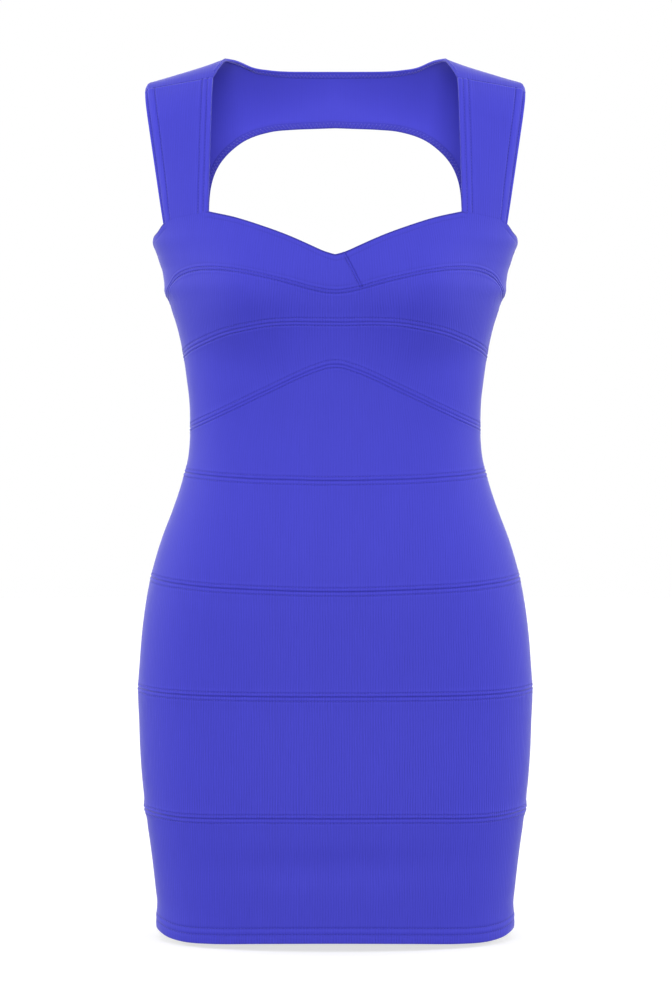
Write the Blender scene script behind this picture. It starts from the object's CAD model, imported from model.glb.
"""Bodycon dress of ribbed knit bands, dressed on its CAD frame.

Shapes are worked out in millimetres, as in the part's source, and MM turns them into metres
when a mesh is made. The front faces -Y, +X is the wearer's left and +Z is up.
"""

import math

import bpy
import numpy as np
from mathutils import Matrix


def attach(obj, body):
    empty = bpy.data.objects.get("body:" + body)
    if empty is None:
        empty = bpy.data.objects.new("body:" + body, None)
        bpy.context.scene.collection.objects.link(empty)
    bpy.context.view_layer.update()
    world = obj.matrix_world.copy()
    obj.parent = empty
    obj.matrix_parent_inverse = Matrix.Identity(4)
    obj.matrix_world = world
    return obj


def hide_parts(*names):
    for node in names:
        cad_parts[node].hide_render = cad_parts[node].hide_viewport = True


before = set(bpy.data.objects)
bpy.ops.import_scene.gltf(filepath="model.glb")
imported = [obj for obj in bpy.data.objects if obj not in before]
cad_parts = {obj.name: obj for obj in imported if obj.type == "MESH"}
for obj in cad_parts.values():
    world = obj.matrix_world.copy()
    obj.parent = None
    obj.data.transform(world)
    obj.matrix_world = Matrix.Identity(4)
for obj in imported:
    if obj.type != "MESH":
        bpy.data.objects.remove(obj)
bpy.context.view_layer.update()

MM = 0.001
FRONT, BACK = -1, 1
WHITE = (1, 1, 1, 1)

# Cloth and sewing
WALL = 1.4
# How far the knit stands off the CAD face.
PROUD = 0.45
RIB_PITCH = 2.3
COURSE_PITCH = 1.1
STITCH_PITCH = 3.0
STITCH_LENGTH = 2.3
THREAD = 0.22
LOOP_PITCH = 3.4
LOOP_THREAD = 0.3
# Four corners of a thread's section.
CORNERS = np.radians([45, 135, 225, 315])
TWIN_NEEDLES = (3.4, 3.9)
SHAPED_NEEDLES = (3.8, 3.0)
CUP_NEEDLE = 1.5
LAP_NEEDLE = 2.2
ARM_NEEDLES = (2.8, 10.6)
NECK_NEEDLES = (4.6, 9.6)
CUTOUT_NEEDLES = (1.7, 5.2)
CUTOUT_LOOPS = (1.2, 5.8)
YOKE_NEEDLES = (3.6, 9.2)
HEM_NEEDLES = (8.0, 13.7)
FACING_LINE = 5.8
# The yoke's neck turning narrows to this share of its width at the centre back, over this share
# of the way from the shoulder seam.
NECK_TURNING_SHARE = 0.58
NECK_TURNING_WAY = 0.6
# A turning's raw edge: how softly its bulk ends, and where and how wide its line is.
RAW_EDGE_BLUR = 0.25
RAW_EDGE_LINE = {"past": 0.3, "wide": 0.6}
RIM_SPREAD = 0.8
# Depth of relief that is shaded in full, and how far from a seam the knit is gathered.
FULL_SHADE = 0.45
GATHER_REACH = 9
GATHER = 0.7
INNER_RIBS = 0.5

# Photograph's viewpoint: level with the middle of the dress, straight in front.
CAMERA_DISTANCE = 2500
CAMERA_HEIGHT = -390.6
CAMERA_ASIDE = 0.67
VIEW_HEIGHT = 907.2
SENSOR = 36
FLOOR_GAP = 3.5


def table(names, *rows):
    """A short table as a dict of columns, one row for each section or point."""
    return dict(zip(names.split(), np.array(rows, float).T))


SECTION_POWER = 2.3
HALF_WIDTHS = table(
    "z half",
    (-780, 160.2), (-758, 160.2), (-749, 159.6), (-735, 161), (-720, 162.7),
    (-693, 166.1), (-676.8, 168.4), (-671.4, 169), (-666.9, 170.4), (-662.4, 171.2),
    (-654.3, 171.3), (-639, 172.8), (-612, 174.8), (-585, 175.8), (-558, 176.8),
    (-531, 175.2), (-504, 173), (-477, 169.4), (-450, 163.8), (-423, 155.9),
    (-396, 145.7), (-378, 139.5), (-364.5, 135.6), (-351, 132.2), (-333, 130.3),
    (-315, 130.1), (-297, 130.8), (-279, 133.1), (-261, 135.7), (-243, 139),
    (-229.5, 142.3), (-218.7, 145.8), (-207, 149.7), (-203.4, 151.9), (-199.8, 153.1),
    (-193.5, 153.1), (-188.1, 153.8), (-180.9, 155), (-174.6, 157.3), (-168.3, 159.2),
    (-162, 161.6), (-156.6, 163.5), (-151.2, 163.9), (-145.8, 165), (-140.4, 166.3),
    (-120, 172), (-100, 176), (-76, 181), (-50, 186), (-20, 190),
    (20, 193),
)
DEPTHS = table(
    "z front back",
    (-780, 89, 94), (-746, 89, 95), (-710, 90, 98), (-675, 92, 103),
    (-640, 93, 108), (-600, 93, 113), (-555, 95, 117), (-512, 99, 115),
    (-476, 102, 109), (-440, 101, 99), (-404, 95, 88), (-377, 89, 80),
    (-350, 84, 75), (-325, 81, 73), (-296, 82, 75), (-260, 86, 79),
    (-233, 91, 83), (-215, 95, 86), (-199, 97, 88), (-188, 97, 89),
    (-170, 95, 91), (-152, 92, 92), (-141, 89, 94), (-120, 84, 96),
    (-100, 77, 97), (-76, 68, 96), (-50, 58, 92), (-20, 48, 84),
    (20, 38, 70),
)

CUP = {"x": 78, "z": -206, "depth": 24, "across": 52, "above": 49, "below": 42}
SHOULDER = {"centre": 41, "slope": 0.302, "y": 10, "front_wrap": 45, "back_wrap": 60}
# How far the ridge sags between the neck and the arm, and the roll at its outer corner.
SHOULDER_SAG = table(
    "x sag",
    (0, 0), (60, 0), (90, 0.2), (98, 0.4), (108, 0.9),
    (116, 1.4), (140, 1.5), (152, 1.5), (162, 1.2), (172, 0.7),
)
ARM_ROLL = {"from": 165.5, "wide": 6, "deep": 3.6, "down": 14}

# Seam heights at angles from the centre (0) to the side seam (90).
BODICE_FRONT = table(
    "phi cup bust under waist",
    (0, -207.2, -233.2, -269.1, -370.3),
    (6, -204.2, -233.1, -273.6, -370.2),
    (12, -199.6, -233.1, -279.7, -369.7),
    (20, -194.6, -234.1, -288, -369.3),
    (30, -189.3, -237.1, -297, -368.5),
    (40, -186, -240.7, -305.1, -367.3),
    (52, -185.8, -246.1, -312.7, -365.8),
    (65, -191.2, -251.2, -318.3, -364),
    (78, -203.2, -255, -321.3, -362.6),
    (90, -207.6, -256.9, -322.9, -361.9),
)
SKIRT_FRONT = table(
    "phi high hip thigh hem",
    (0, -466.5, -557.9, -663.7, -772.4),
    (20, -465, -557.9, -664, -773.3),
    (40, -462.9, -557.8, -665.5, -775.4),
    (52, -460.9, -557.3, -665.6, -775.9),
    (65, -458.5, -556.3, -664.2, -774.2),
    (78, -456.1, -554.8, -663, -770.8),
    (90, -454.9, -553.8, -662.5, -769.2),
)
BODICE_BACK = table(
    "phi cup bust under waist",
    (0, -236, -264, -322, -365),
    (30, -232, -262.5, -322, -364),
    (60, -218, -259, -322.3, -362.5),
    (90, -207.6, -256.9, -322.9, -361.9),
)
SKIRT_BACK = table(
    "phi high hip thigh hem",
    (0, -452, -553, -662, -770),
    (30, -452.5, -553, -662, -770),
    (60, -453.5, -553.2, -661.9, -769),
    (90, -454.9, -553.8, -662.5, -769.2),
)

NECK_EDGE = table(
    "phi z",
    (0, -174.6), (2.4, -171.6), (5.4, -166.9), (11.9, -157.6),
    (19, -149.7), (28, -141.2), (38.6, -134.5),
)
ARM_EDGE_FRONT = table(
    "phi z",
    (38.6, -134.5), (46.8, -137.2), (64.7, -142.5), (71.7, -148.2),
    (82.3, -152.7), (90, -158),
)
STRAP_FOOT = (38.6, 64.7)
STRAP_COLUMNS = (42, 63)
STRAP_WIDTH = 60
# How far the strap's foot reaches under the cup's top edge.
STRAP_TUCK = 1.6
LAP = {"top": 1.85, "bottom": 6.75}
# Angles of the cup bands' columns on the cup seam, and where each meets the top edge.
RIGHT_CUP = table(
    "seam top",
    (-90, -90),
    (-STRAP_COLUMNS[1], -STRAP_FOOT[1]),
    (-STRAP_COLUMNS[0], -STRAP_FOOT[0]),
    (-6, -6),
    (0, -0.2),
    (LAP["bottom"], LAP["top"]),
)
LEFT_CUP = table(
    "seam top",
    (LAP["bottom"], LAP["top"]),
    (12, 7.7),
    (STRAP_COLUMNS[0], STRAP_FOOT[0]),
    (STRAP_COLUMNS[1], STRAP_FOOT[1]),
    (90, 90),
)
SHOULDER_SEAM = table("x z", (109, -11.3), (171.4, -19.2))

CUTOUT = {"half": 117.4, "middle": -125, "up": 84.7, "down": 70, "power": 2.83}
# How far the cut-out's upper edge departs from its even curve.
CUTOUT_RISE = table(
    "x rise",
    (0, 0), (22, -0.5), (33, -0.35), (44, 0), (56, 0.75),
    (66, 1), (77, 1.25), (84, 1.2), (97, 0.4), (118, 0.7),
)
LEG_FOOT = {"x": 149, "z": -141.5}
# Columns along the yoke's armhole, shoulder seam and half neck.
YOKE_STEPS = {"arm": 60, "seam": 24, "neck": 90}
# The back armhole's last points, from the leg's foot to the side seam.
BACK_ARM = ((76, -149), (90, -158))
# The yoke's outer edge on one side, from the leg's foot to the centre back: turn is the angle
# round the shoulder ridge, positive on the front, and cut the angle round the cut-out.
YOKE_ARM = table(
    "cut x turn",
    (-6, 149, -164), (2, 149.5, -130), (6, 153, -105), (11, 159, -80),
    (16, 166, -50), (21, 170, -20), (26, 172.2, 10), (30, 171.4, 36.5),
)
YOKE_NECK = table(
    "cut x turn",
    (44.5, 109, 53.4), (47, 103, 33), (49, 100, 15), (51.5, 97.3, 0),
    (55, 90.6, -12.6), (61, 76.4, -31.6), (67, 60, -41.8), (74, 43.7, -48.7),
    (82, 21.7, -55.9), (90, 0, -62.5),
)

# Soft troughs (negative depth) and swells in the worn cloth, by hand: middle, half length along
# the trough, half width across it, tilt in degrees and depth. Towards the side seams they fade
# out over SIDE_FADE.
SIDE_FADE = 20
CREASES = table(
    "side x z long wide tilt depth",
    (FRONT, 2, -706, 98, 14, 1, -2.6),
    (FRONT, -8, -730, 70, 13, -3, 0.4),
    (FRONT, 8, -505, 60, 60, 0, -1.0),
    (FRONT, -62, -330, 46, 16, 24, -0.5),
    (FRONT, 64, -336, 42, 14, -22, -0.5),
    (FRONT, -96, -266, 40, 18, -14, -3.0),
    (FRONT, 97, -267, 38, 17, 13, -2.9),
    (BACK, -10, -352, 80, 13, 3, -1.3),
    (BACK, 24, -388, 62, 11, -5, -0.9),
    (BACK, 0, -655, 95, 16, 0, -1.2),
    (BACK, -52, -300, 40, 12, 20, -0.7),
    (BACK, 58, -296, 38, 11, -18, -0.7),
)


def curve(rows, key, value, level=False):
    """A smooth curve through a table: on each span a cubic whose end slopes are the chords on
    either side, each weighted by the other's length. level starts it flat."""
    xs, ys = rows[key], rows[value]
    spans = np.diff(xs)
    chords = np.diff(ys) / spans
    slopes = np.empty_like(ys)
    slopes[0] = 0 if level else chords[0]
    slopes[-1] = chords[-1]
    slopes[1:-1] = (spans[1:] * chords[:-1] + spans[:-1] * chords[1:]) / (spans[1:] + spans[:-1])

    def at(x):
        x = np.clip(x, xs[0], xs[-1])
        i = np.clip(np.searchsorted(xs, x, side="right") - 1, 0, len(spans) - 1)
        t = (x - xs[i]) / spans[i]
        rest = 1 - t
        ends = ys[i] * (1 + 2 * t) * rest**2 + ys[i + 1] * t**2 * (3 - 2 * t)
        return ends + spans[i] * (slopes[i] * t * rest**2 - slopes[i + 1] * t**2 * rest)

    return at


half_width = curve(HALF_WIDTHS, "z", "half")
front_depth = curve(DEPTHS, "z", "front")
back_depth = curve(DEPTHS, "z", "back")
shoulder_sag = curve(SHOULDER_SAG, "x", "sag")


def cup_depth(x, z):
    """Two soft rises: a bell curve across from each cup's middle, times a bell curve up and
    down that is wider above the middle than below it."""
    up = (z - CUP["z"]) / np.where(z > CUP["z"], CUP["above"], CUP["below"])
    right = (x + CUP["x"]) / CUP["across"]
    left = (x - CUP["x"]) / CUP["across"]
    return CUP["depth"] * (np.exp(-(right**2)) + np.exp(-(left**2))) * np.exp(-(up**2))


def ridge_height(x):
    """The shoulder ridge falls evenly from the centre outwards, less its sag."""
    return SHOULDER["centre"] - SHOULDER["slope"] * np.abs(x) - shoulder_sag(np.abs(x))


def body_point(x, z, side):
    """A point on the cloth's outer face. Across, a half superellipse: the depth times
    (1 - (x / half width)^power)^(1 / power). Near the shoulder ridge the depth shrinks along a
    quarter circle to the ridge's own depth."""
    reach = np.minimum(np.abs(x) / half_width(z), 1)
    across = (1 - reach**SECTION_POWER) ** (1 / SECTION_POWER)
    front = side == FRONT
    depth = np.where(front, front_depth(z) + cup_depth(x, z), back_depth(z))
    wrap = np.where(front, SHOULDER["front_wrap"], SHOULDER["back_wrap"])
    drop = np.clip((ridge_height(x) - z) / wrap, 0, 1)
    lean = np.sqrt(1 - (1 - drop) ** 2)
    y = SHOULDER["y"] + (side * depth * across - SHOULDER["y"]) * lean
    return np.stack(np.broadcast_arrays(x, y, z), -1)


def body_x(phi, z):
    """Width at an angle round the body: half width times sin(angle)^(2 / power)."""
    sine = np.sin(np.radians(np.clip(phi, -90, 90)))
    return np.sign(sine) * half_width(z) * np.abs(sine) ** (2 / SECTION_POWER)


def body_phi(x, z):
    """The angle round the body at a width: the inverse of body_x."""
    reach = np.clip(np.abs(x) / half_width(z), 0, 1)
    return np.sign(x) * np.degrees(np.arcsin(reach ** (SECTION_POWER / 2)))


def on_front(phi, z):
    """Front chart: angle round the body and height."""
    return body_point(body_x(phi, z), z, FRONT)


def on_back(phi, z):
    """Back chart: angle round the body and height."""
    return body_point(body_x(phi, z), z, BACK)


def on_strap(x, z):
    """Strap chart: width and height on the front."""
    return body_point(x, z, FRONT)


def on_shoulder(x, turn):
    """Shoulder chart: width, and angle round the ridge. The height falls by wrap times
    (1 - cos angle) as far as 90 degrees, then evenly."""
    side = np.where(turn >= 0, FRONT, BACK)
    wrap = np.where(turn >= 0, SHOULDER["front_wrap"], SHOULDER["back_wrap"])
    angle = np.radians(np.abs(turn))
    quarter = math.pi / 2
    drop = np.where(angle < quarter, 1 - np.cos(angle), 1 + angle - quarter)
    return body_point(x, ridge_height(x) - wrap * drop, side)


def turn_at(x, z, side):
    """The angle round the ridge at a height: the inverse of on_shoulder's fall."""
    wrap = SHOULDER["front_wrap"] if side == FRONT else SHOULDER["back_wrap"]
    drop = np.maximum((ridge_height(x) - z) / wrap, 0)
    angle = np.where(drop < 1, np.arccos(1 - np.minimum(drop, 1)), math.pi / 2 + drop - 1)
    return -side * np.degrees(angle)


def creases(points):
    """How far the cloth stands out or sinks in: the sum of one bell-shaped mound for each row,
    long along its tilt and narrow across it."""
    x, y, z = points[..., 0], points[..., 1], points[..., 2]
    total = np.zeros(x.shape)
    for side, cx, cz, long, wide, tilt, depth in zip(*CREASES.values()):
        turn = math.radians(tilt)
        along = (x - cx) * math.cos(turn) + (z - cz) * math.sin(turn)
        over = (z - cz) * math.cos(turn) - (x - cx) * math.sin(turn)
        near = np.clip(side * y / SIDE_FADE, 0, 1)
        total += depth * near * np.exp(-((along / long) ** 2) - (over / wide) ** 2)
    return total


def turned_under(d, fold):
    """1 / (1 + exp((d - fold) / blur)): 1 on the turning under an edge, 0 past its raw edge."""
    return 1 / (1 + np.exp(np.minimum((d - fold) / RAW_EDGE_BLUR, 60)))


def arm_roll(points):
    """The corner of the shoulder rolls over: it sinks by the square of the distance past where
    the roll starts, less the further the cloth is below the ridge."""
    x, z = np.abs(points[..., 0]), points[..., 2]
    past = np.clip((x - ARM_ROLL["from"]) / ARM_ROLL["wide"], 0, 1.3)
    below = (ridge_height(x) - z) / ARM_ROLL["down"]
    return -ARM_ROLL["deep"] * past**2 * np.exp(-(below**2))


def bell(d, at, height, width):
    """A bell curve of that height round a distance from an edge."""
    return height * np.exp(-(((d - at) / width) ** 2))


def seam_relief(needle, ditch, groove, puff):
    """Ditch on the seam, a puffed rib beside it, one needle's groove, then a low swell."""

    def relief(d):
        inner = bell(d, 0, -ditch, 0.6) + bell(d, needle / 2, puff, needle / 4)
        return inner + bell(d, needle, -groove, 0.5) + bell(d, needle + 1.5, 0.2, 0.9)

    return relief


def cup_side_relief(d):
    """The cup band's side of its seam: a rib on the seam line, a needle's groove above it, and
    a fainter line where the allowance inside ends."""
    groove = bell(d, CUP_NEEDLE, -0.4, 0.5) + bell(d, 2.9, 0.22, 0.9) + bell(d, 4.6, -0.12, 0.6)
    return bell(d, 0, 0.25, 0.8) + groove


def cup_under_relief(d):
    """The bust band's side of the cup seam: the rib, then the ditch just below it."""
    return bell(d, 0, 0.25, 0.8) + bell(d, CUP_NEEDLE, -0.5, 0.55) + bell(d, 3.4, 0.3, 1.0)


def side_relief(d):
    """A plain side seam: a shallow narrow ditch."""
    return bell(d, 0, -0.3, 0.5)


def lap_relief(d):
    """The slanting lap: a step down on its edge and a row of stitches beside it."""
    return bell(d, 0, -0.45, 0.5) + bell(d, 1.1, 0.35, 0.5) + bell(d, LAP_NEEDLE, -0.5, 0.4)


def shoulder_relief(d):
    """The shoulder seam: a ditch and the bulk of its allowance beside it."""
    return bell(d, 0, -0.45, 0.55) + bell(d, 1.8, 0.3, 1.2)


def needles_relief(near, far, pull=1):
    """Two needle grooves along a turned edge, with the cloth puffed beside each. A harder
    pull of the thread sinks the grooves deeper."""

    def relief(d):
        grooves = bell(d, near, -0.34, 0.5) + bell(d, far, -0.38, 0.5)
        puffs = bell(d, near / 2, 0.3, near / 2.6) + bell(d, far + 1.4, 0.2, 0.9)
        return pull * grooves + puffs + bell(d, (near + far) / 2, 0.4, (far - near) / 3)

    return relief


def faced_relief(d):
    """The sweetheart edge: rolled over its facing, with a faint line where the facing ends."""
    return bell(d, 2.7, 0.24, 1) + bell(d, FACING_LINE, -0.2, 0.7)


def tucked_relief(d):
    """An end that slips under the next piece."""
    return bell(d, 0, -0.45, 1)


def rows_round(*needles, last):
    """Distances of vertex rows from a free edge: close at its rounding, close at each needle."""
    rows = [0, 0.12, 0.35, 0.8]
    for needle in needles:
        start = rows[-1]
        between = np.linspace(start, needle - 0.75, max(int((needle - start) / 1.1), 2))[1:]
        rows += [*between, needle - 0.35, needle, needle + 0.35, needle + 0.75]
    return (*rows, last - 0.8, last)


def edge(rows, relief, fold=0, extra=0, free=False, rim=0, looped=0, fold_dark=1):
    """How a panel ends: rows of vertices near the edge, its relief outside, how far the
    allowance folds back inside and how thick it is, and whether the edge is free. Then how
    dark its rim, the looper thread over its turning and the turning's own edge are."""
    return {"rows": np.array(rows, float), "relief": relief, "fold": fold, "extra": extra,
            "free": free, "rim": rim, "looped": looped, "fold_dark": fold_dark}


def turned_edge(needles, last, fold, extra, pull=1.0, rim=0.0, looped=0.0, fold_dark=1.0):
    """A free edge turned under and held by two rows of stitches."""
    rows = rows_round(*needles, last=last)
    return edge(rows, needles_relief(*needles, pull), fold, extra, True, rim, looped, fold_dark)


def seam_edge(needle, ditch, groove, puff):
    """One side of a level seam, its allowance pressed away from it."""
    return edge(SEAM_ROWS, seam_relief(needle, ditch, groove, puff), fold=7, extra=0.7)


SEAM_ROWS = (0, 0.35, 0.7, 1.1, 1.6, 2.1, 2.6, 3.0, 3.4, 3.8, 4.2, 4.6, 5.2, 6.2, 7.6)
CUP_ROWS = (0, 0.5, 0.9, 1.2, 1.5, 1.8, 2.2, 2.9, 3.6, 4.2, 4.6, 5.0, 5.8, 7.2)
LAP_ROWS = (0, 0.4, 0.8, 1.1, 1.4, 1.8, 2.2, 2.6, 3.1, 4)

EDGES = {
    "above_seam": seam_edge(TWIN_NEEDLES[0], 0.45, 0.26, 0.42),
    "below_seam": seam_edge(TWIN_NEEDLES[1], 0.45, 0.34, 0.45),
    "above_shaped": seam_edge(SHAPED_NEEDLES[0], 0.25, 0.22, 0.3),
    "below_shaped": seam_edge(SHAPED_NEEDLES[1], 0.25, 0.37, 0.42),
    "cup_side": edge(CUP_ROWS, cup_side_relief, 6, 0.5),
    "cup_under": edge(CUP_ROWS, cup_under_relief, 6, 0.5),
    "side": edge((0, 0.4, 0.9, 1.8), side_relief, 7, 0.4),
    "lap": edge(LAP_ROWS, lap_relief, 5, 0.4),
    "lapped_under": edge((0, 0.4, 0.9, 1.8), side_relief, 5, 0.4),
    "shoulder": edge((0, 0.4, 0.8, 1.3, 1.9, 2.6, 3.6), shoulder_relief, 7, 0.7),
    "tucked": edge((0, 0.8, 1.6, 3), tucked_relief),
    "arm": turned_edge(ARM_NEEDLES, 12.8, 11.6, 0.9, pull=1.7),
    "neck": turned_edge(NECK_NEEDLES, 12, 10.6, 0.9, pull=1.35),
    "yoke": turned_edge(YOKE_NEEDLES, 12, 10, 0.5, rim=0.7, looped=0.12, fold_dark=0.25),
    "cutout": turned_edge(CUTOUT_NEEDLES, 7.4, 6.2, 0.6, rim=0.8, looped=0.7, fold_dark=1.4),
    "hem": turned_edge(HEM_NEEDLES, 17, 15, 1.0, looped=0.5),
    "faced": edge(rows_round(FACING_LINE, last=7.6), faced_relief, 5.6, 0.5, True, 3),
}


def spread(first, last, length, gap):
    """Places along a column: the first edge's rows, even rows about gap apart, then the last
    edge's rows. Each is a share of the length, a multiple of the first edge's turning share,
    and millimetres taken off."""
    start = [(0.0, d, 0.0) for d in first]
    end = [(1.0, 0.0, d) for d in last][::-1]
    room = length - first[-1] - last[-1]
    count = max(int(room / gap), 1)
    shares = np.arange(1, count + 1) / (count + 1)
    even = [(s, first[-1] * (1 - s), last[-1] * s) for s in shares]
    return np.array(start + even + end).T[..., None]


def unit(vectors):
    """Vectors brought to length 1."""
    return vectors / np.linalg.norm(vectors, axis=-1, keepdims=True)


def run_along(path):
    """Distance of each point of a broken line from its start, along the line."""
    steps = np.linalg.norm(np.diff(path, axis=0), axis=-1)
    return np.concatenate([[0], np.cumsum(steps)])


def at_run(places, run, path):
    """Points of a broken line at distances along it."""
    return np.stack([np.interp(places, run, part) for part in path.T], -1)


def lengths_between(chart, start, end):
    """Length of the line between each pair of chart points, from 24 short chords."""
    shares = np.linspace(0, 1, 25)[:, None]
    u = start[:, 0] + (end[:, 0] - start[:, 0]) * shares
    v = start[:, 1] + (end[:, 1] - start[:, 1]) * shares
    steps = np.diff(chart(u, v), axis=0)
    return np.linalg.norm(steps, axis=-1).sum(axis=0)


def chart_normals(chart, u, v):
    """Unit normals: the cross product of the chart's two directions."""
    step = 0.4
    across = chart(u + step, v) - chart(u - step, v)
    along = chart(u, v + step) - chart(u, v - step)
    return unit(np.cross(across, along))


def rows_to_edge(points):
    """Distance of each grid point from its row's first and last point, along the row."""
    steps = np.linalg.norm(np.diff(points, axis=1), axis=-1)
    run = np.concatenate([np.zeros((len(points), 1)), np.cumsum(steps, axis=1)], axis=1)
    return run, run[:, -1:] - run


def panel_grid(chart, outward, upper, lower, edges, gap=5.0, top_free=None, top_share=1.0):
    """A panel's outer and inner faces between two lists of chart points, one for each column.

    Along each column the points lie at the edges' own distances and evenly between them. The
    outer face is the chart's surface moved along its normal by the edges' relief, the creases
    and the shoulder's roll. The inner face lies a wall's thickness behind it, and further
    where an allowance folds back. Near a free edge both close on the wall's middle along a
    half circle. top_free gives for each column how far its top is a free edge, from 0 to 1,
    and top_share narrows the top's turning."""
    top, bottom, first, last = (EDGES[kind] for kind in edges)
    length = lengths_between(chart, upper, lower)
    share, turning, back = spread(top["rows"], bottom["rows"], np.median(length), gap)
    share = share + (turning * top_share - back) / length
    u = upper[:, 0] + (lower[:, 0] - upper[:, 0]) * share
    v = upper[:, 1] + (lower[:, 1] - upper[:, 1]) * share
    base = chart(u, v)
    normal = outward * chart_normals(chart, u, v)
    from_first, from_last = rows_to_edge(base)
    down, up = share * length, (1 - share) * length
    distances = (down / top_share, up, from_first, from_last)
    free_share = np.ones(len(upper)) if top_free is None else top_free
    worn = creases(base) + arm_roll(base) + PROUD
    relief, inside, fold_line, looped, rim = np.zeros((5, *worn.shape))
    half = np.full(worn.shape, WALL / 2)
    for kind, d, weight in zip((top, bottom, first, last), distances, (free_share, 1, 1, 1)):
        relief = relief + weight * kind["relief"](d)
        turning = turned_under(d, kind["fold"])
        if kind["fold"]:
            inside = np.maximum(inside, kind["extra"] * turning)
        if kind["free"]:
            half = half * np.sqrt(1 - (np.clip(1 - d / (WALL / 2), 0, 0.95) * weight) ** 2)
            rim = np.maximum(rim, weight * bell(d, RIM_SPREAD, kind["rim"], RIM_SPREAD))
            raw_edge = kind["fold"] + RAW_EDGE_LINE["past"]
            line = bell(d, raw_edge, kind["fold_dark"], RAW_EDGE_LINE["wide"])
            fold_line = np.maximum(fold_line, weight * line)
            looped = np.maximum(looped, weight * kind["looped"] * turning)
    joined = np.zeros(worn.shape, bool)
    joined[0] = (free_share == 0) | (edges[0] == "shoulder")
    joined[-1] = edges[1] == "tucked"
    centre = np.abs(base[len(base) // 2, :, 0]).argmin()
    rib_u = from_first - from_first[:, [centre]] + base[:, [centre], 0]
    return {
        "outer": base + normal * (half - WALL / 2 + relief + worn)[..., None],
        "inner": base + normal * (worn - half - WALL / 2 - inside)[..., None],
        "normal": normal,
        "groove": np.clip(rim - relief / FULL_SHADE, -1, 3),
        "inner_groove": np.maximum(np.maximum(fold_line, looped), np.minimum(2 * rim, 1.6)),
        "uv": np.stack([rib_u, down], -1),
        "gather": np.exp(-((np.minimum(distances[0], up) / GATHER_REACH) ** 2)),
        "joined": joined,
        "free": free_share,
        "down": distances[0],
        "up": up,
        "from_first": from_first,
        "from_last": from_last,
    }


def wall_faces(rows, columns, flip):
    """Quads of a closed wall: outer grid, inner grid turned round, and the four borders."""
    index = np.arange(rows * columns).reshape(rows, columns)
    under = index + rows * columns

    def quads(a):
        return np.stack([a[:-1, :-1], a[1:, :-1], a[1:, 1:], a[:-1, 1:]], -1).reshape(-1, 4)

    def border(a, b):
        return np.stack([a[:-1], a[1:], b[1:], b[:-1]], -1)

    outer = quads(index)
    inner = quads(under)[:, ::-1]
    rims = [
        border(index[0], under[0]),
        border(index[-1], under[-1])[:, ::-1],
        border(index[:, 0], under[:, 0])[:, ::-1],
        border(index[:, -1], under[:, -1]),
    ]
    faces = np.concatenate([outer, inner, *rims])
    inner_side = np.zeros(len(faces), bool)
    inner_side[len(outer):len(outer) + len(inner)] = True
    return (faces[:, ::-1] if flip else faces), inner_side


def mesh_object(name, points, faces, materials, smooth=True):
    """A mesh object at the origin from points in millimetres and an array of equal faces."""
    mesh = bpy.data.meshes.new(name)
    sides = faces.shape[1]
    mesh.vertices.add(len(points))
    mesh.vertices.foreach_set("co", (points * MM).astype(np.float32).ravel())
    mesh.loops.add(faces.size)
    mesh.loops.foreach_set("vertex_index", faces.astype(np.int32).ravel())
    mesh.polygons.add(len(faces))
    mesh.polygons.foreach_set("loop_start", np.arange(0, faces.size, sides, dtype=np.int32))
    mesh.polygons.foreach_set("use_smooth", np.full(len(faces), smooth))
    mesh.update(calc_edges=True)
    for material in materials:
        mesh.materials.append(material)
    piece = bpy.data.objects.new(name, mesh)
    bpy.context.scene.collection.objects.link(piece)
    return piece


def add_uv(mesh, uv, faces):
    """Writes a UV map of metres of cloth: across the ribs, and along them."""
    layer = mesh.uv_layers.new(name="cloth")
    layer.data.foreach_set("uv", (uv[faces.ravel()] * MM).astype(np.float32).ravel())


def add_mask(mesh, name, values):
    """Writes a named value for each vertex."""
    mask = mesh.attributes.new(name, "FLOAT", "POINT")
    mask.data.foreach_set("value", values.astype(np.float32).ravel())


def square_off(mesh, chosen):
    """Keeps the turn from a piece's face to its end square, where both corners of a mesh edge
    are chosen."""
    ends = np.empty(len(mesh.edges) * 2, np.int32)
    mesh.edges.foreach_get("vertices", ends)
    square = mesh.attributes.new("sharp_edge", "BOOLEAN", "EDGE")
    square.data.foreach_set("value", chosen[ends.reshape(-1, 2)].all(axis=1))


RIBS = {
    "bust": 0.75,
    "cup": 0.45,
    "strap": 0.5,
    "underbust": 0.5,
    "waist": 0.4,
    "upper_hip": 0.6,
    "hip": 0.8,
    "thigh": 1.15,
    "hem": 0.85,
    "back": 0.5,
}


def cloth_panel(node, grid, materials):
    """The closed mesh of a panel, declared as a stretched sheet that replaces its CAD node."""
    outer, inner = grid["outer"], grid["inner"]
    rows, columns = outer.shape[:2]
    points = np.concatenate([outer.reshape(-1, 3), inner.reshape(-1, 3)])
    across = outer[0, 1:] - outer[0, :-1]
    down = outer[1, :-1] - outer[0, :-1]
    facing = (np.cross(down, across) * grid["normal"][0, :-1]).sum()
    faces, inner_side = wall_faces(rows, columns, flip=facing < 0)
    piece = mesh_object(f"{node}_cloth", points, faces, materials)
    uv = grid["uv"].reshape(-1, 2)
    add_uv(piece.data, np.concatenate([uv, uv]), faces)
    grooves = [grid["groove"].ravel(), grid["inner_groove"].ravel()]
    add_mask(piece.data, "groove", np.concatenate(grooves))
    strength = next(value for band, value in RIBS.items() if node.startswith(band))
    ribs = (strength * (1 + GATHER * grid["gather"])).ravel()
    add_mask(piece.data, "ribs", np.concatenate([ribs, INNER_RIBS * ribs]))
    piece.data.polygons.foreach_set("material_index", inner_side.astype(np.int32))
    joined = grid["joined"].ravel()
    square_off(piece.data, np.concatenate([joined, np.zeros(joined.size, bool)]))
    declare_cloth(piece, node, grid)
    return piece


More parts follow.
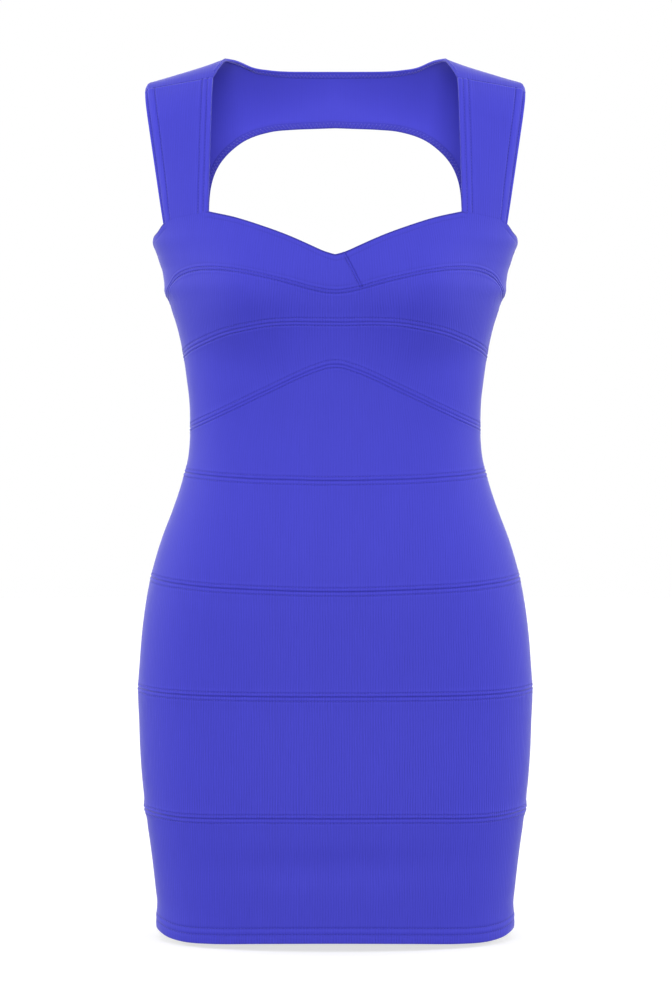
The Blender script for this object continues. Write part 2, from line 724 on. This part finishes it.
def declare_cloth(piece, node, grid):
    """States the flat cut: the longest row by the longest column, and the face's own area."""
    outer = grid["outer"]
    across = np.linalg.norm(np.diff(outer, axis=1), axis=-1).sum(axis=1).max()
    along = np.linalg.norm(np.diff(outer, axis=0), axis=-1).sum(axis=0).max()
    side_a = np.diff(outer, axis=1)[:-1]
    side_b = np.diff(outer, axis=0)[:, :-1]
    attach(piece, "root")
    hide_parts(node)


def resample(path, sideways, pitch):
    """Points, directions and sideways vectors at even distances along a broken line."""
    run = run_along(path)
    count = max(int(run[-1] / pitch), 1)
    at = (np.arange(count) + 0.5) * run[-1] / count
    way = at_run(at + 0.4, run, path) - at_run(at - 0.4, run, path)
    return at_run(at, run, path), unit(way), at_run(at, run, sideways)


def stitches(paths):
    """Points and faces of rows of stitches. Each is a four-sided spindle of five rings that
    bows out of the cloth: its height is thread times (1 - share of its half length squared)."""
    along = np.array([-1, -0.75, 0, 0.75, 1])
    girth = np.array([0.15, 0.85, 1, 0.85, 0.15]) * THREAD
    lines = (resample(path, normals, STITCH_PITCH) for path, normals in paths)
    points, ways, normals = (np.concatenate(part)[:, None, None] for part in zip(*lines))
    across = unit(np.cross(ways, normals))
    up = np.cross(across, ways)
    lift = THREAD * (1 - along**2) + 0.05
    rise = lift[:, None] + girth[:, None] * np.sin(CORNERS)
    ring = points + ways * (along * STITCH_LENGTH / 2)[:, None, None] + up * rise[..., None]
    ring = ring + across * (girth[:, None] * np.cos(CORNERS))[..., None]
    count, rings, sides = ring.shape[:3]
    index = np.arange(count * rings * sides).reshape(count, rings, sides)
    nxt = np.roll(index, -1, axis=2)
    skin = np.stack([index[:, :-1], nxt[:, :-1], nxt[:, 1:], index[:, 1:]], -1).reshape(-1, 4)
    caps = np.concatenate([index[:, 0, ::-1], index[:, -1]])
    return ring.reshape(-1, 3), np.concatenate([skin, caps])


def zigzag(near, far):
    """Looper thread on the inside: a four-sided tube that goes to and fro between two needle
    lines, one crossing every half pitch."""
    (path, normal), (other, _) = near, far
    points, _, normal = resample(path, normal, LOOP_PITCH / 2)
    run = run_along(other)
    number = np.arange(len(points))
    across = at_run((number + 0.5) * run[-1] / len(points), run, other)
    line = np.where((number % 2 == 0)[:, None], points, across) - normal * LOOP_THREAD
    aside = unit(np.cross(unit(np.gradient(line, axis=0)), normal))
    ring = aside[:, None] * np.cos(CORNERS)[:, None] + normal[:, None] * np.sin(CORNERS)[:, None]
    return tube_faces(line[:, None] + LOOP_THREAD * ring)


def tube_faces(rings):
    """Points and faces of a capped tube from rings of four corners."""
    index = np.arange(len(rings) * 4).reshape(-1, 4)
    turned = np.roll(index, -1, axis=1)
    skin = np.stack([index[:-1], turned[:-1], turned[1:], index[1:]], -1).reshape(-1, 4)
    caps = np.stack([index[0, ::-1], index[-1]])
    return rings.reshape(-1, 3), np.concatenate([skin, caps])


def thread_object(name, parts, material):
    """Joins rows of thread into one piece that rides with the dress."""
    sizes = np.cumsum([0] + [len(points) for points, _ in parts[:-1]])
    points = np.concatenate([points for points, _ in parts])
    faces = np.concatenate([faces + start for (_, faces), start in zip(parts, sizes)])
    piece = mesh_object(name, points, faces, [material])
    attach(piece, "root")
    return piece


def line_at(grid, measure, distance, face="outer"):
    """The broken line of grid points nearest a distance from an edge, with its normals."""
    distances = grid[measure]
    if measure in ("down", "up"):
        row = int(np.abs(np.median(distances, axis=1) - distance).argmin())
        return grid[face][row], grid["normal"][row]
    column = int(np.abs(np.median(distances, axis=0) - distance).argmin())
    return grid[face][:, column], grid["normal"][:, column]


def set_inputs(node, values):
    """Sets a node's inputs by name."""
    for name, value in values.items():
        node.inputs[name].default_value = value


def new_material(name, surface):
    """A node material whose Principled shader has its inputs set."""
    material = bpy.data.materials.new(name)
    material.use_nodes = True
    shader = material.node_tree.nodes["Principled BSDF"]
    set_inputs(shader, surface)
    return material, material.node_tree, shader


def math_node(tree, operation, first, second=None):
    """A Math node on a socket or a number, and its output."""
    node = tree.nodes.new("ShaderNodeMath")
    node.operation = operation
    for slot, value in enumerate((first, second)):
        if value is None:
            continue
        if isinstance(value, (int, float)):
            node.inputs[slot].default_value = value
        else:
            tree.links.new(value, node.inputs[slot])
    return node.outputs[0]


def mix_colours(tree, share, first, second):
    """A colour between two, each given as three numbers or a socket."""
    node = tree.nodes.new("ShaderNodeMix")
    node.data_type = "RGBA"
    tree.links.new(share, node.inputs[0])
    for slot, colour in ((6, first), (7, second)):
        if isinstance(colour, tuple):
            node.inputs[slot].default_value = (*colour, 1)
        else:
            tree.links.new(colour, node.inputs[slot])
    return node.outputs[2]


def bumped(tree, height, distance):
    """A normal from a height, and how many metres a height of 1 stands for."""
    node = tree.nodes.new("ShaderNodeBump")
    node.inputs["Distance"].default_value = distance
    tree.links.new(height, node.inputs["Height"])
    return node.outputs[0]


def mask_value(tree, name):
    """A value that add_mask wrote on the mesh."""
    node = tree.nodes.new("ShaderNodeAttribute")
    node.attribute_name = name
    return node.outputs["Fac"]


# Unevenness of the knit: cycles per metre across the ribs and along them.
STREAKS = {
    "wander": (110, 40),
    "patches": (260, 70),
    "fibre": (2600, 1500),
    "broad": (30, 12),
    "fine": (500, 40),
}
RIB_WANDER = 2.4


def streak_noise(tree, across, along, name):
    """Noise stretched along the ribs."""
    combine = tree.nodes.new("ShaderNodeCombineXYZ")
    for slot, (way, cycles) in enumerate(zip((across, along), STREAKS[name])):
        tree.links.new(math_node(tree, "MULTIPLY", way, cycles), combine.inputs[slot])
    noise = tree.nodes.new("ShaderNodeTexNoise")
    set_inputs(noise, {"Scale": 1, "Detail": 2})
    tree.links.new(combine.outputs[0], noise.inputs["Vector"])
    return noise.outputs["Fac"]


def rib_group():
    """Shader group of the knit. Height is a rounded rib wave across the cloth, stronger and
    weaker in streaks, less a faint wave of courses along it, plus fibre noise. Tone is uneven
    streaks along the ribs, darker between them."""
    group = bpy.data.node_groups.new("rib_knit", "ShaderNodeTree")
    group.interface.new_socket("Cloth", in_out="INPUT", socket_type="NodeSocketVector")
    sockets = {"INPUT": ("Rib pitch", "Course pitch", "Ribs"), "OUTPUT": ("Height", "Tone")}
    for way, names in sockets.items():
        for name in names:
            group.interface.new_socket(name, in_out=way, socket_type="NodeSocketFloat")
    given = group.nodes.new("NodeGroupInput")
    result = group.nodes.new("NodeGroupOutput")
    split = group.nodes.new("ShaderNodeSeparateXYZ")
    group.links.new(given.outputs["Cloth"], split.inputs[0])
    across, along = split.outputs[0], split.outputs[1]

    def times(first, second):
        return math_node(group, "MULTIPLY", first, second)

    def plus(first, second):
        return math_node(group, "ADD", first, second)

    def streaks(name):
        return streak_noise(group, across, along, name)

    def wave(place, pitch):
        turns = math_node(group, "DIVIDE", place, given.outputs[pitch])
        return math_node(group, "SINE", times(turns, 2 * math.pi))

    ribs = wave(plus(across, times(streaks("wander"), RIB_WANDER * MM)), "Rib pitch")
    patches = plus(times(streaks("patches"), 3.2), -1.0)
    rib = times(times(ribs, given.outputs["Ribs"]), patches)
    course = times(wave(along, "Course pitch"), 0.05)
    height = plus(times(rib, 0.5), plus(course, times(streaks("fibre"), 0.2)))
    group.links.new(height, result.inputs["Height"])
    mixed = plus(times(streaks("broad"), 0.2), times(streaks("fine"), 0.3))
    group.links.new(plus(plus(mixed, times(rib, 0.3)), 0.25), result.inputs["Tone"])
    return group


def knit_material(name, group, dark, light, bump, sheen, shade):
    """Ribbed knit: the group's tone picks a colour between dark and light, needle grooves and
    fold lines are a little darker, and its height goes to a bump."""
    surface = {
        "Roughness": 0.75,
        "Specular IOR Level": 0.2,
        "Sheen Weight": sheen,
        "Sheen Roughness": 0.35,
        "Sheen Tint": WHITE,
    }
    material, tree, shader = new_material(name, surface)
    cloth = tree.nodes.new("ShaderNodeUVMap")
    cloth.uv_map = "cloth"
    knit = tree.nodes.new("ShaderNodeGroup")
    knit.node_tree = group
    set_inputs(knit, {"Rib pitch": RIB_PITCH * MM, "Course pitch": COURSE_PITCH * MM})
    tree.links.new(cloth.outputs[0], knit.inputs["Cloth"])
    tree.links.new(mask_value(tree, "ribs"), knit.inputs["Ribs"])
    groove = mask_value(tree, "groove")
    tone = math_node(tree, "ADD", knit.outputs["Tone"], math_node(tree, "MULTIPLY", groove, -0.3))
    plain = mix_colours(tree, tone, dark, light)
    shadow = tuple(0.5 * part for part in dark)
    colour = mix_colours(tree, math_node(tree, "MULTIPLY", groove, shade), plain, shadow)
    tree.links.new(colour, shader.inputs["Base Color"])
    tree.links.new(bumped(tree, knit.outputs["Height"], bump * MM), shader.inputs["Normal"])
    return material


def thread_material(name, dark, light):
    """Polyester thread, with fine twisted plies as bump."""
    material, tree, shader = new_material(name, {"Roughness": 0.5})
    place = tree.nodes.new("ShaderNodeTexCoord")
    noise = tree.nodes.new("ShaderNodeTexNoise")
    noise.inputs["Scale"].default_value = 2500
    tree.links.new(place.outputs["Object"], noise.inputs["Vector"])
    plies = noise.outputs["Fac"]
    tree.links.new(mix_colours(tree, plies, dark, light), shader.inputs["Base Color"])
    tree.links.new(bumped(tree, plies, 0.1 * MM), shader.inputs["Normal"])
    return material


def seam_line(seam, bodice, skirt):
    """Chart points of a seam for an array of angles."""
    at = curve(bodice if seam in bodice else skirt, "phi", seam, level=True)
    return lambda phi: np.stack([phi, at(np.abs(phi))], -1)


def front_seam(seam):
    return seam_line(seam, BODICE_FRONT, SKIRT_FRONT)


def back_seam(seam):
    return seam_line(seam, BODICE_BACK, SKIRT_BACK)


def cutout_point(angle):
    """The cut-out's edge: half width times cos^(2 / power), and from its middle height up or
    down times sin^(2 / power), plus its uneven rise above the middle."""
    turn = np.radians(angle)
    cosine = np.clip(np.cos(turn), 0, 1)
    sine = np.sin(turn)
    power = 2 / CUTOUT["power"]
    rise = np.where(sine > 0, CUTOUT["up"], CUTOUT["down"]) * np.sign(sine)
    x = CUTOUT["half"] * cosine**power
    x = np.where(np.abs(angle) >= 90, 0, x)
    uneven = curve(CUTOUT_RISE, "x", "rise")(x) * np.clip(sine / 0.2, 0, 1)
    return x, CUTOUT["middle"] + rise * np.abs(sine) ** power + uneven


COLUMN_GAP = 2.6
TYPICAL_HALF, TYPICAL_DEPTH = 160, 92


def columns(start, end, first, last):
    """Angles of a panel's columns: close together at its two side edges and evenly spaced along
    the body between them. Those nearest the strap's foot are moved onto it."""
    phi = np.linspace(start, end, 12001)
    sine = np.abs(np.sin(np.radians(phi)))
    x = np.sign(phi) * sine ** (2 / SECTION_POWER)
    y = np.clip(1 - sine**2, 0, 1) ** (1 / SECTION_POWER)
    run = run_along(np.stack([x * TYPICAL_HALF, y * TYPICAL_DEPTH], -1))
    rows = spread(EDGES[first]["rows"], EDGES[last]["rows"], run[-1], COLUMN_GAP)
    share, begin, back = rows[..., 0]
    found = np.interp(share * run[-1] + begin - back, run, phi)
    for key in (-STRAP_COLUMNS[1], -STRAP_COLUMNS[0], *STRAP_COLUMNS):
        if start < key < end:
            found[np.abs(found - key).argmin()] = key
    return found


PHI = columns(-90, 90, "side", "side")

BANDS = (
    ("bust_band", "cup", "bust"),
    ("underbust_band", "bust", "under"),
    ("waist_band", "under", "waist"),
    ("upper_hip_band", "waist", "high"),
    ("hip_band", "high", "hip"),
    ("thigh_band", "hip", "thigh"),
    ("hem_band", "thigh", "hem"),
)


UPPER_EDGES = {"cup": "cup_under", "bust": "below_shaped", "under": "below_shaped"}
LOWER_EDGES = {"bust": "above_shaped", "under": "above_shaped", "hem": "hem"}
SHAPED_SEAMS = ("bust", "under")


def band_grids():
    """Grids of the bands below the cup seam, front and back, keyed by node name."""
    grids = {}
    for name, top, bottom in BANDS:
        above = UPPER_EDGES.get(top, "below_seam")
        edges = (above, LOWER_EDGES.get(bottom, "above_seam"), "side", "side")
        sides = (("front", front_seam, on_front, 1), ("back", back_seam, on_back, -1))
        for side, seam, chart, out in sides:
            upper, lower = seam(top)(PHI), seam(bottom)(PHI)
            grids[f"{name}_{side}"] = panel_grid(chart, out, upper, lower, edges)
    return grids


def front_top(phi):
    """Chart points of the front's top edge: neck up to the strap, then strap foot and arm."""
    angle = np.abs(phi)
    neck = curve(NECK_EDGE, "phi", "z")(angle)
    arm = curve(ARM_EDGE_FRONT, "phi", "z")(angle)
    return np.stack([phi, np.where(angle <= STRAP_FOOT[0], neck, arm)], -1)


def strap_free(phi):
    """How far the top edge is free: 1 beside the strap, 0 under it."""
    angle = np.abs(phi)
    under = (angle > STRAP_FOOT[0] + 0.6) & (angle < STRAP_FOOT[1] - 0.6)
    return np.where(under, 0.0, 1.0)


def cup_grids():
    """Grids of the two cup bands. Their top angles bunch towards the lap."""
    grids = {}
    for name, start, end, first, last, tops in (
        ("cup_band_right", -90, LAP["bottom"], "side", "lap", RIGHT_CUP),
        ("cup_band_left", LAP["bottom"], 90, "lapped_under", "side", LEFT_CUP),
    ):
        phi = columns(start, end, first, last)
        top = np.interp(phi, tops["seam"], tops["top"])
        grids[name] = panel_grid(
            on_front, 1, front_top(top), front_seam("cup")(phi), ("faced", "cup_side", first, last),
            gap=4, top_free=strap_free(top),
        )
    return grids


def points_along(chart, line, places):
    """Chart points on a line at across * length + begin - back millimetres from its start."""
    across, begin, back = places
    run = run_along(chart(line[:, 0], line[:, 1]))
    return at_run(across * run[-1] + begin - back, run, line)


def strap_grid(side):
    """Grid of a strap, from its foot on the cup band to the shoulder seam. Its columns keep
    their distance from the edge they belong to, so both stitched lines have their own."""
    share = np.linspace(0, 1, 400)
    foot = front_top(STRAP_FOOT[0] + (STRAP_FOOT[1] - STRAP_FOOT[0]) * share)
    foot_line = np.stack([side * body_x(foot[:, 0], foot[:, 1]), foot[:, 1] - STRAP_TUCK], -1)
    top_x, top_z = SHOULDER_SEAM["x"], SHOULDER_SEAM["z"]
    seam_x = top_x[0] + (top_x[1] - top_x[0]) * share
    seam_line = np.stack([side * seam_x, np.interp(seam_x, top_x, top_z)], -1)
    places = spread(EDGES["neck"]["rows"], EDGES["arm"]["rows"], STRAP_WIDTH, 3)[..., 0]
    upper = points_along(on_strap, seam_line, places)
    lower = points_along(on_strap, foot_line, places)
    return panel_grid(on_strap, 1, upper, lower, ("shoulder", "tucked", "neck", "arm"), gap=4)


def yoke_columns():
    """Chart points of half the yoke's outer edge and cut-out edge, from the leg's foot to the
    centre back: the armhole, the shoulder seam, then the neck."""
    parts = {}
    for part, rows in (("arm", YOKE_ARM), ("neck", YOKE_NECK)):
        keyed = {**rows, "run": np.linspace(0, 1, len(rows["x"]))}
        steps = np.linspace(0, 1, YOKE_STEPS[part])
        parts[part] = {key: curve(keyed, "run", key)(steps) for key in rows}
    share = np.linspace(0, 1, YOKE_STEPS["seam"] + 2)[1:-1]
    seam = {}
    for key in ("cut", "x"):
        start = YOKE_ARM[key][-1]
        seam[key] = start + (YOKE_NECK[key][0] - start) * share
    seam_z = np.interp(seam["x"], SHOULDER_SEAM["x"], SHOULDER_SEAM["z"])
    seam["turn"] = turn_at(seam["x"], seam_z, FRONT)
    joined = (parts["arm"], seam, parts["neck"])
    cut, x, turn = (np.concatenate([part[key] for part in joined]) for key in ("cut", "x", "turn"))
    free = np.ones(len(x))
    free[YOKE_STEPS["arm"] - 1:1 - YOKE_STEPS["neck"]] = 0
    narrow = np.ones(len(x))
    narrow[-len(steps):] = 1 - (1 - NECK_TURNING_SHARE) * np.minimum(steps / NECK_TURNING_WAY, 1)
    cut_x, cut_z = cutout_point(cut)
    inner = np.stack([cut_x, turn_at(cut_x, cut_z, BACK)], -1)
    return np.stack([x, turn], -1), inner, free, narrow


def yoke_grid():
    """Grid of the back yoke: a strip bent round the cut-out, right half then its mirror."""
    outer, inner, free, narrow = yoke_columns()
    upper, lower = (np.concatenate([half * (-1, 1), half[-2::-1]]) for half in (outer, inner))
    free, narrow = (np.concatenate([half, half[-2::-1]]) for half in (free, narrow))
    edges = ("yoke", "cutout", "side", "side")
    grid = panel_grid(on_shoulder, -1, upper, lower, edges, top_free=free, top_share=narrow)
    grid["uv"] = grid["outer"][..., [0, 2]]
    return grid


def back_top_grid():
    """Grid of the back's top band: armhole, foot of the yoke's leg, then the cut-out."""
    inner, outer = STRAP_COLUMNS
    angle = np.abs(PHI)
    leg_x, leg_z = cutout_point(YOKE_ARM["cut"][0])
    outer_phi = float(body_phi(LEG_FOOT["x"], LEG_FOOT["z"]))
    arm = table("phi z", (outer_phi, LEG_FOOT["z"]), *BACK_ARM)
    arm_phi = outer_phi + (90 - outer_phi) * (angle - outer) / (90 - outer)
    arm_z = curve(arm, "phi", "z")(arm_phi)
    share = np.clip((angle - inner) / (outer - inner), 0, 1)
    cut_x, cut_z = cutout_point(-90 + (YOKE_ARM["cut"][0] + 90) * np.minimum(angle / inner, 1))
    x = np.where(angle >= inner, leg_x + (LEG_FOOT["x"] - leg_x) * share, cut_x)
    z = np.where(angle >= inner, leg_z + (LEG_FOOT["z"] - leg_z) * share, cut_z)
    phi = np.where(angle >= outer, arm_phi, body_phi(x, z))
    z = np.where(angle >= outer, arm_z, z)
    upper = np.stack([np.sign(PHI) * np.where(angle == 0, 0, phi), z], -1)
    free = np.where((angle > inner) & (angle < outer), 0.0, 1.0)
    edges = ("cutout", "cup_side", "side", "side")
    return panel_grid(on_back, -1, upper, back_seam("cup")(PHI), edges, gap=4, top_free=free)


def free_parts(grid, line):
    """The stretches of a line beside a free edge, without those beside a seam."""
    free = grid["free"] > 0.5
    breaks = np.flatnonzero(np.diff(free.astype(int))) + 1
    parts = zip(np.split(line[0], breaks), np.split(line[1], breaks), np.split(free, breaks))
    return [(points, normals) for points, normals, kept in parts if kept[0]]


def sew(grids, thread, loops):
    """Rows of stitches on the seams and edges, and zigzag looper thread inside the turnings."""
    for name, top, bottom in BANDS:
        rows = []
        above, below = (
            SHAPED_NEEDLES if seam in SHAPED_SEAMS else TWIN_NEEDLES for seam in (bottom, top)
        )
        needles = HEM_NEEDLES if bottom == "hem" else above[:1]
        for grid in (grids[f"{name}_front"], grids[f"{name}_back"]):
            if top != "cup":
                rows.append(line_at(grid, "down", below[1]))
            rows += [line_at(grid, "up", needle) for needle in needles]
        thread_object(f"topstitch_{name}", [stitches(rows)], thread)
    above_cups = ("cup_band_right", "cup_band_left", "back_top_band")
    rows = [line_at(grids[name], "up", CUP_NEEDLE) for name in above_cups]
    rows += [line_at(grids[f"bust_band_{side}"], "down", CUP_NEEDLE) for side in ("front", "back")]
    rows.append(line_at(grids["cup_band_right"], "from_last", LAP_NEEDLE))
    thread_object("topstitch_cup_band", [stitches(rows)], thread)
    for side in ("left", "right"):
        grid = grids[f"strap_{side}"]
        rows = [line_at(grid, "from_first", needle) for needle in NECK_NEEDLES]
        rows += [line_at(grid, "from_last", needle) for needle in ARM_NEEDLES]
        thread_object(f"topstitch_strap_{side}", [stitches(rows)], thread)
    yoke = grids["back_yoke"]
    rows = [line_at(yoke, "up", needle) for needle in CUTOUT_NEEDLES]
    for needle in YOKE_NEEDLES:
        rows += free_parts(yoke, line_at(yoke, "down", needle))
    rows += [line_at(grids["back_top_band"], "down", needle) for needle in CUTOUT_NEEDLES]
    thread_object("topstitch_back_yoke", [stitches(rows)], thread)
    neck = [free_parts(yoke, line_at(yoke, "down", needle, "inner")) for needle in YOKE_NEEDLES]
    turnings = list(zip(*neck))
    hems = [(grids[f"hem_band_{side}"], HEM_NEEDLES) for side in ("front", "back")]
    for grid, needles in ((yoke, CUTOUT_LOOPS), *hems):
        turnings.append([line_at(grid, "up", needle, "inner") for needle in needles])
    parts = [zigzag(near, far) for near, far in turnings]
    thread_object("looper_thread", parts, loops)


def floor():
    """A pale floor: a wide disc just under the hem. It glows a little for the camera alone, so
    that it stays white without lighting the cloth from below."""
    height = min(SKIRT_FRONT["hem"].min(), SKIRT_BACK["hem"].min()) - FLOOR_GAP
    radii = np.array([1, 300, 900, 2500, 9000])
    turn = np.radians(np.arange(0, 360, 5))
    ring = np.stack([np.cos(turn), np.sin(turn), 0 * turn], -1)
    points = (radii[:, None, None] * ring).reshape(-1, 3) + (0, 0, height)
    index = np.arange(len(points)).reshape(len(radii), -1)
    turned = np.roll(index, -1, axis=1)
    faces = np.stack([index[:-1], index[1:], turned[1:], turned[:-1]], -1).reshape(-1, 4)
    surface = {
        "Base Color": FLOOR_COLOUR,
        "Roughness": 0.9,
        "Specular IOR Level": 0,
        "Emission Color": WHITE,
    }
    material, tree, shader = new_material("pale_floor", surface)
    path = tree.nodes.new("ShaderNodeLightPath")
    glow = math_node(tree, "MULTIPLY", path.outputs["Is Camera Ray"], FLOOR_GLOW)
    tree.links.new(glow, shader.inputs["Emission Strength"])
    mesh_object("floor", points, faces, [material])


def far_light(name, aside, height, strength, spread_angle):
    """A very large, far softbox: degrees from straight in front and above level."""
    data = bpy.data.lights.new(name, "SUN")
    data.energy = strength
    data.angle = math.radians(spread_angle)
    lamp = bpy.data.objects.new(name, data)
    lamp.rotation_euler = (math.radians(90 - height), 0, math.radians(aside))
    bpy.context.scene.collection.objects.link(lamp)


LIGHTS = (
    ("top", 0, 78, 0.7, 40),
    ("front", 0, 3.5, 2.72, 24),
    ("left_side", -78, 15, 0.4, 40),
    ("right_side", 78, 15, 0.4, 40),
    ("left_rim", -112, 15, 1.95, 40),
    ("right_rim", 112, 15, 1.95, 40),
    ("back", 180, 35, 0.6, 60),
)
SURROUND = 0.43
FLOOR_GLOW = 0.65
FLOOR_COLOUR = (0.45, 0.45, 0.45, 1)


def studio():
    """Large soft lights above, in front, at both sides and behind, in an even surround. The camera
    sees the surround as white paper."""
    for light in LIGHTS:
        far_light(*light)
    world = bpy.data.worlds.new("surround")
    world.use_nodes = True
    tree = world.node_tree
    shine, paper = tree.nodes["Background"], tree.nodes.new("ShaderNodeBackground")
    set_inputs(shine, {"Color": WHITE, "Strength": SURROUND})
    set_inputs(paper, {"Color": WHITE})
    path = tree.nodes.new("ShaderNodeLightPath")
    mix = tree.nodes.new("ShaderNodeMixShader")
    seen = (path.outputs["Is Camera Ray"], shine.outputs[0], paper.outputs[0])
    for socket, slot in zip(seen, mix.inputs):
        tree.links.new(socket, slot)
    tree.links.new(mix.outputs[0], tree.nodes["World Output"].inputs[0])
    bpy.context.scene.world = world
    bpy.context.scene.view_settings.view_transform = "Standard"


def camera():
    """The photograph's camera: its picture is VIEW_HEIGHT tall at the side seams' plane."""
    data = bpy.data.cameras.new("camera")
    data.sensor_width = SENSOR
    data.lens = SENSOR * CAMERA_DISTANCE / VIEW_HEIGHT
    data.clip_end = 50
    eye = bpy.data.objects.new("camera", data)
    eye.location = (CAMERA_ASIDE * MM, -CAMERA_DISTANCE * MM, CAMERA_HEIGHT * MM)
    eye.rotation_euler = (math.pi / 2, 0, 0)
    bpy.context.scene.collection.objects.link(eye)
    bpy.context.scene.camera = eye


camera()
studio()
floor()

knit_group = rib_group()
knit_face = knit_material(
    "knit_face", knit_group, dark=(0.0362, 0.0355, 0.388), light=(0.052, 0.0505, 0.528),
    bump=0.12, sheen=0.22, shade=0.22,
)
knit_inside = knit_material(
    "knit_inside", knit_group, dark=(0.061, 0.0585, 0.535), light=(0.074, 0.0705, 0.625),
    bump=0.08, sheen=0.2, shade=0.35,
)
thread = thread_material("sewing_thread", (0.035, 0.034, 0.4), (0.055, 0.053, 0.52))
loops = thread_material("looper_thread", (0.08, 0.075, 0.48), (0.2, 0.18, 0.68))

grids = {**cup_grids(), **band_grids()}
grids["strap_left"] = strap_grid(1)
grids["strap_right"] = strap_grid(-1)
grids["back_yoke"] = yoke_grid()
grids["back_top_band"] = back_top_grid()
for node, grid in grids.items():
    cloth_panel(node, grid, [knit_face, knit_inside])
sew(grids, thread, loops)
